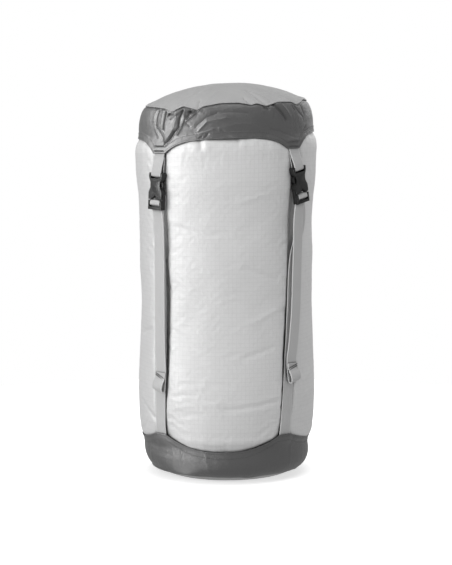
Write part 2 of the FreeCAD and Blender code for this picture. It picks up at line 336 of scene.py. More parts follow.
def unit(rows):
    return rows / np.linalg.norm(rows, axis=1)[:, None]


def hem_rows(name, columns, line_of):
    """Two rows of stitches along a ring's hem; line_of gives a row's radius and height."""
    rows = []
    for number in (0, 1):
        azimuth = around(columns)
        radius, z = line_of(azimuth, number)
        rows.append(seam_stitches(f"{name}_{number}", azimuth, radius + 0.1 * MM, z,
                                  2.9 * MM, 2.2 * MM, 0.26 * MM))
    return rows


# ---- materials ------------------------------------------------------------------------
class Look:
    """A Principled material and short calls that add nodes to it. All colours are greys."""

    def __init__(self, name, colour, roughness, specular=0.4, sheen=0.0, ior=1.5):
        self.material = bpy.data.materials.new(name)
        self.material.use_nodes = True
        self.shader = self.material.node_tree.nodes["Principled BSDF"]
        self.set(**{"Base Color": colour, "Roughness": roughness, "Specular IOR Level": specular,
                    "Sheen Weight": sheen, "Sheen Roughness": 0.4, "IOR": ior})

    def feed(self, node, inputs):
        """Link or set a node's inputs; a number given to a colour is a grey."""
        for key, value in inputs.items():
            socket = node.inputs[key]
            if isinstance(value, bpy.types.NodeSocket):
                self.material.node_tree.links.new(value, socket)
            elif socket.type == "RGBA":
                socket.default_value = (value, value, value, 1)
            else:
                socket.default_value = value

    def set(self, **inputs):
        self.feed(self.shader, inputs)

    def paint(self, colour):
        self.feed(self.shader, {"Base Color": colour})

    def add(self, kind, inputs, output=0, **settings):
        node = self.material.node_tree.nodes.new("ShaderNode" + kind)
        for key, value in settings.items():
            setattr(node, key, value)
        self.feed(node, inputs)
        return node.outputs[output]

    def math(self, kind, *values):
        return self.add("Math", dict(enumerate(values)), operation=kind)

    def mix(self, share, first, second):
        return self.add("Mix", {0: share, 6: first, 7: second}, 2, data_type="RGBA")

    def noise(self, vector, scale, detail, roughness=0.5):
        return self.add("TexNoise", {"Vector": vector, "Scale": scale, "Detail": detail,
                                     "Roughness": roughness}, "Fac")

    def ramp(self, value, low, high, to_low=0.0, to_high=1.0, kind="LINEAR"):
        return self.add("MapRange", {"Value": value, "From Min": low, "From Max": high,
                                     "To Min": to_low, "To Max": to_high},
                        interpolation_type=kind)

    def bump(self, height, distance):
        self.set(Normal=self.add("Bump", {"Height": height, "Distance": distance}, "Normal"))

    def place(self):
        return self.add("TexCoord", {}, "Object")

    def cloth(self):
        """The measures stored on the cloth's points: all, across and along, in metres."""
        vector = self.add("Attribute", {}, "Vector", attribute_name="cloth")
        split = self.add("SeparateXYZ", {0: vector}).node
        return vector, split.outputs[0], split.outputs[1]

    def lines(self, coordinate, pitch, width=0.00045):
        """1 on a thin line repeated every pitch metres, 0 elsewhere."""
        phase = self.math("FRACT", self.math("DIVIDE", coordinate, pitch))
        distance = self.math("ABSOLUTE", self.math("SUBTRACT", phase, 0.5))
        return self.ramp(distance, width / pitch, 0.4 * width / pitch, kind="SMOOTHSTEP")

    def weave(self, *ways):
        """Product of sine waves along (coordinate, radians per metre) pairs."""
        return self.math("MULTIPLY", *(self.math("SINE", self.math("MULTIPLY", *way))
                                       for way in ways))

    def shade_in_hollows(self, colour, shade_colour, reach):
        """Painted shade: darken a colour by ambient occlusion deep in grooves and where two pieces
        nearly touch.
        """
        hollow = self.add("AmbientOcclusion", {"Distance": reach}, "AO", samples=6)
        return self.mix(self.ramp(hollow, 0.38, 0.84), shade_colour, colour)

    def grain(self, pattern, first, second, depth):
        """One pattern for both the colour and the relief."""
        self.paint(self.mix(pattern, first, second))
        self.bump(pattern, depth)
        return self.material


def ripstop_material(name, colour, line_colour, roughness, pitch):
    """Light nylon with a raised grid of heavier yarns, and painted shade in its grooves and
    hollows.
    """
    look = Look(name, colour, roughness, 1.0, 0.05, 1.7)
    vector, across, along = look.cloth()
    grid = look.math("MAXIMUM", look.lines(across, pitch), look.lines(along, pitch))
    mottle = look.math("MULTIPLY", look.noise(vector, 38.0, 2.0), 0.10)
    body = look.mix(mottle, colour, colour * 0.90)
    woven = look.mix(look.math("MULTIPLY", grid, 0.30), body, line_colour)
    # Painted shade: the cloth darkens towards 8% of its colour in the grooves beside the straps and
    # where pieces nearly touch it.
    look.paint(look.shade_in_hollows(woven, colour * 0.08, 0.010))
    weave = look.weave((across, 9000.0), (along, 9000.0))
    fine = look.math("MULTIPLY_ADD", weave, 0.08, look.math("MULTIPLY", grid, 0.25))
    crinkle = look.noise(vector, 160.0, 4.0)
    look.bump(look.math("MULTIPLY_ADD", crinkle, 0.9, fine), 0.00022)
    return look.material


def satin_material(name, colour, light, roughness, crinkle_size, specular=1.0, ior=1.7):
    """Coated satin nylon: a close weave with soft crinkles."""
    look = Look(name, colour, roughness, specular, 0.05, ior)
    vector, across, along = look.cloth()
    crinkle = look.noise(vector, crinkle_size, 5.0, 0.6)
    weave = look.weave((across, 8000.0), (along, 8000.0))
    look.bump(look.math("MULTIPLY_ADD", weave, 0.05, crinkle), 0.0006)
    look.paint(look.mix(look.noise(vector, 30.0, 3.0), colour, light))
    look.set(Roughness=look.ramp(crinkle, 0.0, 1.0, roughness - 0.06, roughness + 0.08))
    return look.material


def webbing_material(name, colour, edge_colour):
    """Flat woven webbing: ribs across, a lighter rolled selvedge, and painted shade where other
    pieces nearly touch it.
    """
    look = Look(name, colour, 0.5, 0.9, 0.1, 1.6)
    _, across, along = look.cloth()
    weave = look.weave((along, 5200.0), (across, 3900.0))
    body = look.mix(look.math("MULTIPLY_ADD", weave, 0.18, 0.2), colour, colour * 0.8)
    edge = look.ramp(look.math("ABSOLUTE", across), 0.0066, 0.0074)
    woven = look.mix(edge, body, edge_colour)
    # Painted shade: the webbing darkens where its own layers, the buckles and the body nearly touch
    # it.
    look.paint(look.shade_in_hollows(woven, colour * 0.12, 0.0045))
    fuzz = look.noise(look.place(), 1500.0, 2.0)
    look.bump(look.math("MULTIPLY_ADD", fuzz, 0.5, weave), 0.00018)
    return look.material


def plastic_material(name, colour, roughness):
    """Moulded acetal with a fine spark texture and slightly rubbed edges."""
    look = Look(name, colour, roughness, 0.5)
    place = look.place()
    look.bump(look.noise(place, 2600.0, 2.0), 0.00005)
    edges = look.ramp(look.add("NewGeometry", {}, "Pointiness"), 0.52, 0.62)
    mottle = look.noise(place, 220.0, 3.0)
    look.paint(look.mix(look.math("MULTIPLY", edges, 0.6), colour, colour * 2.5))
    look.set(Roughness=look.ramp(mottle, 0.0, 1.0, roughness - 0.05, roughness + 0.1))
    return look.material


def thread_material(name, colour):
    look = Look(name, colour, 0.55, 0.35, 0.2)
    return look.grain(look.noise(look.place(), 2200.0, 2.0), colour * 0.6, colour, 0.0001)


def braid_material(name, colour, light):
    """Round braided cord: two sets of strands crossing."""
    look = Look(name, colour, 0.6, 0.3, 0.2)
    strands = look.add("TexWave", {"Vector": look.place(), "Scale": 420.0, "Distortion": 1.5},
                       "Fac")
    return look.grain(strands, colour, light, 0.0003)


def steel_material(name):
    look = Look(name, 0.6, 0.3, 0.5)
    look.set(Metallic=1.0)
    return look.grain(look.noise(look.place(), 900.0, 2.0), 0.5, 0.7, 0.00004)


BODY_CLOTH = ripstop_material("ripstop_body", 0.70, 0.56, 0.50, 0.0050)
RING_CLOTH = satin_material("ring_cloth", 0.029, 0.040, 0.43, 210.0)
END_CLOTH = satin_material("end_panel_cloth", 0.40, 0.455, 0.55, 150.0, 0.5, 1.45)
MOUTH_CLOTH = satin_material("mouth_cloth", 0.56, 0.62, 0.5, 170.0)
TAPE_CLOTH = webbing_material("binding_tape", 0.09, 0.11)
WEBBING = webbing_material("webbing", 0.58, 0.70)
BLACK_PLASTIC = plastic_material("buckle_plastic", 0.006, 0.30)
LOCK_PLASTIC = plastic_material("cord_lock_plastic", 0.022, 0.4)
# Dark thread for the hems and the lid tab tacks; on the tails' bar tacks its darkness is painted
# shade for the shadow lines either side of the stitching.
DARK_THREAD_AND_TACK_SHADE = thread_material("dark_thread_and_tack_shade", 0.11)
GREY_THREAD = thread_material("grey_thread", 0.42)
PALE_THREAD = thread_material("pale_thread", 0.66)
CORD_BRAID = braid_material("drawcord_braid", 0.03, 0.09)
SPRING_WIRE = steel_material("spring_steel")


def finish_piece(piece, material, body, nodes=()):
    """Give a piece its material, attach it to its body and hide the CAD nodes that it stands for.

    A body given as (low body, high body, low z, high z) is not used: the piece then only has its
    transform baked in.
    """
    piece.data.materials.clear()
    piece.data.materials.append(material)
    if isinstance(body, tuple):
        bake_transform(piece)
    else:
        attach(piece, body)
    if nodes:
        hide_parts(*nodes)
    return piece


# ---- outlines of the stuffed sack, radius against height in metres ----------------------
wall_radius = smooth_curve([(0.016, 0.0925), (0.026, 0.0950), (0.037, 0.0957), (0.043, 0.0980),
                            (0.049, 0.1015), (0.060, 0.1036), (0.093, 0.1056), (0.125, 0.1050),
                            (0.158, 0.1038), (0.202, 0.1022), (0.267, 0.1030), (0.311, 0.1028),
                            (0.333, 0.1040), (0.354, 0.1062), (0.376, 0.1078), (0.391, 0.1082),
                            (0.398, 0.1068), (0.404, 0.1034), (0.420, 0.1010), (0.434, 0.0952)])
lid_radius = smooth_curve([(0.380, 0.1106), (0.391, 0.1100), (0.398, 0.1080), (0.405, 0.1054),
                           (0.415, 0.1048), (0.426, 0.1038), (0.433, 0.1020), (0.438, 0.0998),
                           (0.442, 0.0968), (0.446, 0.0915)])
base_radius = smooth_curve([(0.0070, 0.0890), (0.0105, 0.0938), (0.016, 0.0978), (0.026, 0.0999),
                            (0.034, 0.0993), (0.041, 0.0994), (0.049, 0.1032), (0.060, 0.1054)])

# Height of the lid's top seam round the sack: azimuth in degrees, height in mm.
SEAM_DIPS = [(-180, 441.5), (-165, 439), (-155, 442), (-138, 437), (-128, 441), (-110, 439),
             (-97, 442), (-85, 442.8), (-60, 441), (-44.7, 438.4), (-38, 434.4), (-29.7, 440.2),
             (-18.8, 435.6), (-15.5, 438.8), (-4, 442.1), (8, 442), (17.3, 438.9), (21, 440.6),
             (27.4, 437.0), (37.5, 441.3), (51.3, 440.9), (54.7, 437.4), (71.6, 443.6),
             (90, 442.5), (105, 441), (118, 438), (128, 441), (141, 436.5), (150, 440),
             (165, 442), (180, 441.5)]


def seam_height(azimuth):
    """Height of the lid's top seam, its corners softened."""
    degrees = np.degrees(wrapped(azimuth))
    turns, heights = np.array(SEAM_DIPS, float).T
    spread = (-1.6, -0.8, 0.0, 0.8, 1.6)
    return sum(np.interp((degrees + shift + 180) % 360 - 180, turns, heights)
               for shift in spread) / len(spread) * MM


LID_HEM_MIDDLES = (0.4046, 0.4020, 0.4056, 0.4040)
LID_HEM_TAB = RING_LOW.z
BASE_HEM_MIDDLES = (0.0455, 0.0387, 0.0455, 0.0410)
TAB_HALF = math.radians(4.9)


def lid_hem(azimuth):
    return arched_edge(azimuth, LID_TABS, LID_HEM_MIDDLES, LID_HEM_TAB, TAB_HALF, 4.2)


def base_hem(azimuth):
    return arched_edge(azimuth, BASE_TABS, BASE_HEM_MIDDLES, BASE_HIGH.z, TAB_HALF, 2.6)


def nearest_tab(azimuth, tabs):
    """Angle to the nearest tab, always positive."""
    return np.min([np.abs(wrapped(azimuth - tab)) for tab in tabs], axis=0)


# ---- stuffed ripstop body ----------------------------------------------------------------
BODY_FOLDS = [
    ([(0, 90.4), (14, 92.5), (34, 98)], -1.5, 2.4),
    ([(4, 95), (20, 98), (32, 103)], 0.8, 3.0),
    ([(6, 86), (30, 91)], 0.7, 5.0),
    ([(-17, 402), (-15.5, 397), (-15, 392)], -2.2, 2.2),
    ([(-13, 402), (-11, 394)], 1.2, 3.5),
    ([(7.0, 402), (8.2, 397)], -2.0, 1.8),
    ([(9.5, 401), (11, 392)], 1.1, 3.0),
    ([(-72, 172), (-62, 176)], -1.6, 5.0),
    ([(-66, 88), (-52, 72)], -1.3, 3.0),
    ([(-30, 118), (-12, 121), (2, 118)], -0.45, 2.6),
    ([(-34, 104), (-18, 108)], -0.5, 2.4),
    ([(-32, 90), (-20, 95), (-6, 96)], 0.5, 2.8),
    ([(-28, 82), (-14, 84)], -0.45, 2.2),
    ([(12, 150), (30, 160)], -0.9, 3.4),
    ([(16, 190), (33, 204)], 0.8, 4.0),
    ([(14, 252), (32, 240)], -0.8, 3.6),
    ([(-30, 300), (-14, 292), (0, 294)], -0.7, 4.0),
    ([(10, 330), (24, 338)], 0.7, 4.0),
    ([(-70, 96), (-60, 84)], 0.8, 4.0),
    ([(60, 120), (74, 128)], 0.7, 5.0),
    ([(58, 100), (72, 106)], 0.7, 5.0),
    ([(62, 84), (74, 86)], -0.7, 5.0),
    ([(64, 330), (80, 322)], -0.8, 6.0),
    ([(150, 92), (176, 97)], -1.0, 4.0),
    ([(-150, 300), (-128, 290)], -0.8, 7.0),
    ([(100, 240), (122, 232)], -0.8, 7.0),
]


def strap_azimuth(name, stretch, z):
    """Azimuth of a strap's anchored run or free tail at a height."""
    heights, degrees = np.array(STRAPS[name][stretch]).T
    return np.interp(z, heights * MM, np.radians(degrees))


# Half width of the groove beside each strap, on the side toward the panel's middle.
GROOVE_Z = (0.070, 0.087, 0.110, 0.134, 0.157, 0.203, 0.230, 0.255, 0.273, 0.314)
GROOVE_INNER = {
    "front_left": (0.0085, 0.0095, 0.0125, 0.0145, 0.0150, 0.0160, 0.0160, 0.0125, 0.0105, 0.0090),
    "front_right": (0.0085, 0.0085, 0.0100, 0.0125, 0.0120, 0.0095, 0.0088, 0.0082, 0.0076, 0.0064),
    "back_left": (0.0120,) * 10,
    "back_right": (0.0120,) * 10,
}


def body_relief(azimuth, z):
    """Pillows between the straps, the grooves under them, folds and gathers."""
    turns = azimuth / (2 * math.pi)
    pillow = 2.4 * MM * (1 - smoothstep(0.80, 0.97, np.abs(np.sin(azimuth))))
    pillow = pillow * smoothstep(0.06, 0.12, z) * (1 - smoothstep(0.34, 0.39, z))
    tight = smoothstep(0.066, 0.100, z) * (1 - smoothstep(0.375, 0.394, z))
    groove = np.zeros_like(z)
    for name in STRAP_NAMES:
        beside = wrapped(azimuth - strap_azimuth(name, "run", z)) * WALL_R
        inner = np.interp(z, GROOVE_Z, GROOVE_INNER[name])
        edge = np.where(beside * STRAPS[name]["base"] < 0, inner, 0.0125)
        groove = np.maximum(groove, 1 - smoothstep(0.005, edge, np.abs(beside)))
    relief = pillow * (1 - groove) - 5.0 * MM * groove * tight
    relief += 0.9 * MM * ripple(turns, z, 11, 0.085, 3)
    relief += 0.45 * MM * ripple(turns + 0.02, z, 26, 0.036, 4)
    relief += 0.12 * MM * ripple(turns, z + 0.3 * azimuth * 0.02, 64, 0.011, 5)
    hem_gap = lid_hem(azimuth) - z
    top = np.exp(-np.clip(hem_gap, 0, 1) / 0.015)
    relief += 0.75 * MM * top * ripple(turns, z, 88, 0.05, 6)
    foot_gap = z - base_hem(azimuth)
    foot = np.exp(-np.clip(foot_gap, 0, 1) / 0.016)
    relief += 0.5 * MM * foot * ripple(turns, z, 74, 0.05, 7)
    for tab in LID_TABS:
        beside = np.exp(-((wrapped(azimuth - tab) / 0.16) ** 2))
        relief -= 1.2 * MM * beside * smoothstep(0.36, 0.40, z)
    for tab in BASE_TABS:
        beside = np.exp(-((wrapped(azimuth - tab) / 0.13) ** 2))
        relief -= 1.0 * MM * beside * (1 - smoothstep(0.05, 0.09, z))
    relief += folds(azimuth, z, BODY_FOLDS, WALL_R)
    return relief


def body_surface(azimuth, z):
    """Radius of the finished body at any azimuth and height."""
    hidden = smoothstep(0.408, 0.416, z) + (1 - smoothstep(0.030, 0.040, z))
    relief = body_relief(azimuth, z) * (1 - np.clip(hidden, 0, 1))
    lean_in = 1.2 * MM * np.sin(azimuth) * np.exp(-(((z - 0.311) / 0.03) ** 2))
    stuffed = 1.0 * MM * np.clip(np.sin(azimuth), 0, 1) ** 4 * (1 - smoothstep(0.33, 0.39, z))
    return wall_radius(z) + relief + stuffed - lean_in


def make_wall():
    z, azimuth = table(np.linspace(WALL_LOW.z, WALL_HIGH.z, 130), around(290))
    held = 1 - smoothstep(0.001, 0.008, lid_hem(azimuth) - z)
    held += 1 - smoothstep(0.001, 0.010, z - base_hem(azimuth))
    held += smoothstep(0.97, 0.985, np.abs(azimuth) / math.pi)
    calm = 0.27 + 0.33 * smoothstep(1.05, 1.75, np.abs(azimuth))
    hold = calm + (1 - calm) * np.clip(held, 0, 1)
    piece = skin("body_cloth", azimuth, body_surface(azimuth, z), z, 0.5 * MM,
                 settled=dict(hold=hold.ravel(), growth=0.009, frames=9))
    lean_with_lid(piece, 0.31, 0.40)
    finish_piece(piece, BODY_CLOTH, SINKING, ["sack_wall"])


def make_back_seam():
    """Felled seam up the back, with two rows of stitching."""
    tape_low, tape_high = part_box("wall_seam_tape")
    half = (tape_high.x - tape_low.x) / 2
    low = WALL_FIXED_Z - 0.016
    z, across = table(np.linspace(low, 0.408, 190), np.linspace(-half, half, 13))
    azimuth = math.pi + across / WALL_R
    crown = 0.9 * MM * (1 - np.abs(across / half) ** 6) + 0.12 * MM
    radius = body_surface(azimuth, z) + crown
    piece = skin("body_seam", azimuth, radius, z, 0.7 * MM)
    lean_with_lid(piece, 0.31, 0.40)
    finish_piece(piece, BODY_CLOTH, SINKING, ["wall_seam_tape"])
    for side in (-1, 1):
        line_z = np.linspace(low + 0.002, 0.404, 160)
        line_azimuth = np.full_like(line_z, math.pi + side * 0.0042 / WALL_R)
        line_radius = body_surface(line_azimuth, line_z) + 1.05 * MM
        row = seam_stitches(f"body_seam_thread_{'left' if side > 0 else 'right'}", line_azimuth,
                            line_radius, line_z, 3.2 * MM, 2.4 * MM, 0.28 * MM)
        lean_with_lid(row, 0.31, 0.40)
        finish_piece(row, PALE_THREAD, SINKING)


# ---- base --------------------------------------------------------------------------------
BASE_FOLDS = [
    ([(-40, 46), (-38, 30), (-40, 14)], 0.8, 3.0),
    ([(-32, 40), (-31, 22)], -0.7, 2.5),
    ([(-14, 36), (-12, 16)], 0.6, 4.0),
    ([(28, 42), (31, 20)], -0.6, 3.0),
    ([(50, 40), (49, 20)], 0.6, 3.0),
    ([(-62, 40), (-66, 18)], 0.6, 3.0),
]


def tuck(azimuth):
    """The base draws in more at the front left, where the sack leans off the floor."""
    return 3.6 * MM * np.exp(-(wrapped(azimuth + math.radians(68)) / math.radians(42)) ** 2)


def base_surface(azimuth, z):
    turns = azimuth / (2 * math.pi)
    relief = 0.40 * MM * ripple(turns, z, 30, 0.06, 21)
    relief += 0.10 * MM * ripple(turns, z, 84, 0.03, 22)
    relief += folds(azimuth, z, BASE_FOLDS, 0.1)
    seam = np.exp(-((z - BASE_LOW.z) / 0.004) ** 2)
    relief += 0.4 * MM * seam * ripple(turns, z, 120, 0.05, 23)
    hem_gap = base_hem(azimuth) - z
    relief += 0.35 * MM * (1 - smoothstep(0.0075, 0.0085, hem_gap))
    near = nearest_tab(azimuth, BASE_TABS)
    flat = np.exp(-(near / 0.11) ** 4) * smoothstep(0.030, 0.050, z)
    drawn_in = tuck(azimuth) * (1 - smoothstep(0.012, 0.038, z))
    return base_radius(z) + relief * (1 - 0.7 * flat) + 1.9 * MM * flat - drawn_in


def make_base():
    t, azimuth = table(np.linspace(0, 1, 64) ** 0.9, around(900))
    uneven = 0.9 * MM * ripple(azimuth / (2 * math.pi), azimuth * 0, 34, 1.0, 26)
    low = BASE_LOW.z + 1.0 * MM + 0.6 * tuck(azimuth) + uneven
    z = low + (base_hem(azimuth) - low) * t
    piece = skin("base_skirt", azimuth, base_surface(azimuth, z), z, 0.9 * MM)
    finish_piece(piece, RING_CLOTH, "sack", ["base_ring"])

    def line_of(azimuth, number):
        z = base_hem(azimuth) - (1.9 * MM, 7.2 * MM)[number]
        return base_surface(azimuth, z), z

    for row in hem_rows("base_hem_thread", 900, line_of):
        finish_piece(row, DARK_THREAD_AND_TACK_SHADE, "sack")
    make_base_panel()
    piping = make_piping("base_seam_binding", BASE_LOW.z + 2.6 * MM, 0.0888, 1.1 * MM, 31)
    finish_piece(piping, TAPE_CLOTH, "sack", ["base_binding"])


def make_piping(name, height, radius, thickness, seed):
    """Round bound edge with a little unevenness."""
    azimuth, turn = table(around(360, False), turn_steps(10))
    wobble = 0.3 * MM * ripple(azimuth / (2 * math.pi), azimuth * 0, 60, 1.0, seed)
    points = round_grid(azimuth, radius + wobble + thickness * np.cos(turn),
                        height + thickness * np.sin(turn))
    faces = [face[::-1] for face in grid_faces(360, 10, True, True)]
    cloth = np.stack([thickness * (turn - math.pi), azimuth * radius, turn * 0], -1)
    return mesh_object(name, points.reshape(-1, 3), faces, cloth.reshape(-1, 3))


def disc(name, radius_of, height_of, rows, columns, thickness, offset):
    """Round panel of cloth whose rim and height vary round it."""
    t, azimuth = table(np.linspace(0.004, 1, rows), around(columns, False))
    points = round_grid(azimuth, radius_of(azimuth) * t, height_of(azimuth, t)).reshape(-1, 3)
    middle = height_of(np.zeros(columns), np.zeros(columns))[0]
    verts = np.concatenate([points, [[0, 0, middle]]])
    faces = grid_faces(rows, columns, True)
    faces += [((j + 1) % columns, j, rows * columns) for j in range(columns)]
    piece = mesh_object(name, verts, faces, verts * np.array([1, 1, 0]))
    return baked(piece, "SOLIDIFY", thickness=thickness, offset=offset)


def make_base_panel():
    rim = PANEL_HIGH.x + 0.6 * MM
    flat_share = 0.76

    def height(azimuth, t):
        turns = azimuth / (2 * math.pi)
        rise = np.clip((t - flat_share) / (1 - flat_share), 0, 1) ** 1.8 * 0.0088
        wrinkle = 0.3 * MM * ripple(turns, t, 44, 0.3, 25) * smoothstep(0.7, 0.98, t)
        return 0.9 * MM + rise + np.abs(wrinkle)

    piece = disc("base_bottom", lambda a: rim - tuck(a), height, 60, 360, 0.8 * MM, 1)
    finish_piece(piece, END_CLOTH, "sack", ["base_panel"])


# ---- lid ---------------------------------------------------------------------------------
# Folds of the lid's ring, from the puckered seam down to the strap tabs.
LID_FOLDS = [
    ([(-41.1, 396.7), (-37, 405.8), (-34.4, 411.4)], -3.8, 1.5),
    ([(-34.4, 411.4), (-31.4, 416.3), (-31.1, 426.1), (-29.3, 436)], -2.4, 1.0),
    ([(-27.7, 438.3), (-27.2, 425.9), (-29.3, 416.2), (-32, 408.8)], 1.7, 1.3),
    ([(-33.5, 432), (-33.6, 424), (-35, 416), (-38, 409), (-42, 401)], 1.3, 2.2),
    ([(-40.5, 399.5), (-45.7, 411.1), (-49.9, 418.8)], -2.1, 1.0),
    ([(-51.4, 416.3), (-47.7, 407)], 1.3, 1.2),
    ([(-49.9, 437), (-50.2, 429), (-50.3, 420.4)], -1.9, 1.0),
    ([(-43, 435), (-43.2, 426), (-43.9, 415.1)], -2.2, 1.2),
    ([(-53.2, 437), (-53.4, 425.6)], 1.0, 1.3),
    ([(-46.4, 436.8), (-46.9, 418)], 1.2, 1.2),
    ([(-37.1, 433), (-41.3, 431.5)], -3.2, 1.4),
    ([(-40.8, 432), (-41.8, 427)], -1.8, 1.1),
    ([(-19.6, 434.6), (-24.4, 433.6)], -3.4, 1.5),
    ([(-24, 434), (-25.3, 427.5)], -2.0, 1.2),
    ([(-25.5, 424.4), (-21.3, 430), (-16.9, 436.6)], 1.7, 1.0),
    ([(-37.9, 427), (-33.6, 431.2), (-29.8, 436.6)], 1.5, 1.0),
    ([(-25.8, 421.5), (-23.4, 417)], -0.9, 1.0),
    ([(-17.4, 412), (-11.9, 422), (-0.1, 425.6)], 1.0, 1.6),
    ([(-19, 417), (-13, 426), (-6, 431)], -0.9, 2.2),
    ([(-16.5, 408.7), (-8.2, 413)], 1.0, 1.3),
    ([(-17.4, 402), (-15, 405.6)], -1.3, 1.0),
    ([(-13.7, 403), (-11.1, 408.3)], -1.4, 1.1),
    ([(-4, 414), (6, 418), (16, 418)], 0.7, 2.4),
    ([(3, 405), (-2, 411)], -0.7, 1.5),
    ([(-8, 430), (2, 432), (14, 430)], -0.6, 2.6),
    ([(26.4, 436), (29, 434)], -2.2, 1.2),
    ([(29, 437), (33.5, 438.5)], -1.3, 1.0),
    ([(33.3, 440.7), (36, 435.3), (38.8, 430.5), (42.7, 421.6)], -3.5, 2.1),
    ([(30.2, 440), (34, 431.9), (38, 424.8)], 1.2, 1.6),
    ([(39.7, 439.8), (42.4, 433), (45.4, 425)], 1.1, 1.7),
    ([(33, 431), (32, 423)], -0.6, 2.0),
    ([(49.9, 436.5), (51, 432)], -1.3, 1.4),
    ([(52, 435.9), (55.5, 428.7), (59.3, 423.9)], -1.0, 1.3),
    ([(60, 436), (61, 428)], -0.8, 1.6),
    ([(50, 399), (44, 403), (36, 408), (29, 410.5)], -0.8, 1.3),
    ([(62, 412), (57, 404), (52, 397)], -0.7, 1.6),
    ([(18, 415), (22, 410), (24, 405.5)], 0.6, 2.0),
]


def tab_folds(tab, side, seed):
    """A fan of folds that runs from one of the back tabs up to the top seam."""
    rng = np.random.default_rng(seed)
    lines = []
    for k in range(5):
        top = tab + side * (4 + 5.5 * k + rng.uniform(-1, 1))
        middle = tab + side * (3 + 2.6 * k)
        lines.append(([(top, 437 - rng.uniform(0, 3)), (middle, 418), (tab + side * 2, 399)],
                      rng.choice([-1.5, 1.1]) * rng.uniform(0.6, 1.1), 1.2 + 0.3 * k))
    return lines


ALL_LID_FOLDS = LID_FOLDS + [fold for tab, side, seed in ((-135, -1, 41), (-135, 1, 42),
                             (135, -1, 43), (135, 1, 44)) for fold in tab_folds(tab, side, seed)]


def lid_surface(azimuth, z):
    """Radius of the lid's ring at any azimuth and height."""
    turns = azimuth / (2 * math.pi)
    relief = 0.7 * MM * ripple(turns, z, 17, 0.030, 51)
    relief += 0.22 * MM * ripple(turns + z * 0.8, z, 46, 0.014, 52)
    relief += 0.08 * MM * ripple(turns, z, 150, 0.009, 53)
    seam_gap = seam_height(azimuth) - z
    under_seam = np.exp(-np.clip(seam_gap, 0, 1) / 0.005)
    relief += 0.55 * MM * under_seam * ripple(turns, z, 96, 0.05, 54)
    hem_gap = z - lid_hem(azimuth)
    near_hem = np.exp(-np.clip(hem_gap, 0, 1) / 0.006)
    relief += 0.4 * MM * near_hem * ripple(turns, z, 80, 0.05, 55)
    folded = folds(azimuth, z, ALL_LID_FOLDS, 0.104)
    edge_fade = smoothstep(0.0, 0.004, hem_gap)
    hem_step = 0.4 * MM * (1 - smoothstep(0.0072, 0.0080, hem_gap))
    near = nearest_tab(azimuth, LID_TABS)
    flat = np.exp(-(near / 0.085) ** 4) * (1 - smoothstep(0.395, 0.402, z))
    radius = lid_radius(z) + (relief + folded * edge_fade) * (1 - 0.85 * flat) + hem_step
    seam_groove = 0.9 * MM * np.exp(-(np.clip(seam_gap, 0, 1) / 0.0013) ** 2)
    return radius - seam_groove


def lid_over_body(azimuth, z):
    """Radius of the lid's ring, kept outside the body's bulge under it."""
    clear = body_surface(azimuth, np.minimum(z, 0.404)) + 1.3 * MM
    return np.maximum(lid_surface(azimuth, z), clear * (1 - smoothstep(0.399, 0.404, z)))


def make_lid_ring():
    t, azimuth = table(np.linspace(0, 1, 96), around(1300))
    low = lid_hem(azimuth)
    z = low + (seam_height(azimuth) + 0.3 * MM - low) * t
    piece = skin("lid_skirt", azimuth, lid_over_body(azimuth, z), z, 0.8 * MM)
    lean_with_lid(piece)
    finish_piece(piece, RING_CLOTH, "lid", ["lid_ring"])

    def line_of(azimuth, number):
        z = lid_hem(azimuth) + (1.9 * MM, 7.0 * MM)[number]
        return lid_over_body(azimuth, z), z

    for row in hem_rows("lid_hem_thread", 1100, line_of):
        lean_with_lid(row)
        finish_piece(row, DARK_THREAD_AND_TACK_SHADE, "lid")


DOME_FOLDS = [
    ([(-38, 99), (-36, 84), (-30, 66)], -1.6, 2.6),
    ([(-30, 96), (-26, 78), (-20, 62)], 1.1, 4.0),
    ([(-18.8, 98), (-20, 88)], -2.3, 2.2),
    ([(-14, 97), (-13, 84), (-8, 70)], 0.9, 3.4),
    ([(17.3, 97), (14, 86)], -2.0, 1.6),
    ([(27.4, 97), (24, 85), (20, 70)], -2.2, 1.8),
    ([(34, 90), (22, 66), (2, 50)], -1.2, 2.2),
    ([(46, 88), (34, 64)], -1.0, 2.2),
    ([(54.7, 97), (50, 84)], -1.6, 2.0),
    ([(-52, 92), (-46, 78)], 0.8, 3.4),
    ([(-138, 98), (-134, 82)], -1.4, 2.2),
    ([(118, 98), (114, 84)], -1.3, 2.2),
    ([(141, 98), (139, 80)], -1.5, 2.4),
    ([(-110, 98), (-106, 86)], -1.2, 2.2),
    ([(-165, 98), (-163, 84)], -1.1, 2.2),
]


def dome_relief(azimuth, radius):
    """Shallow folds of the top panel: points in degrees and mm from the middle."""
    place = round_grid(azimuth, radius, radius * 0)
    relief = np.zeros_like(radius)
    for points, height, width in DOME_FOLDS:
        angles, distances = np.array(points, float).T
        line = round_grid(np.radians(angles), distances * MM, angles * 0)
        nearest = np.full_like(radius, 1e9)
        for start, end in zip(line, line[1:]):
            step = end - start
            t = np.clip(((place - start) * step).sum(-1) / step.dot(step), 0, 1)
            gap = place - start - t[..., None] * step
            nearest = np.minimum(nearest, np.linalg.norm(gap, axis=-1))
        relief += height * MM * np.exp(-(nearest / (width * MM)) ** 1.5)
    return relief


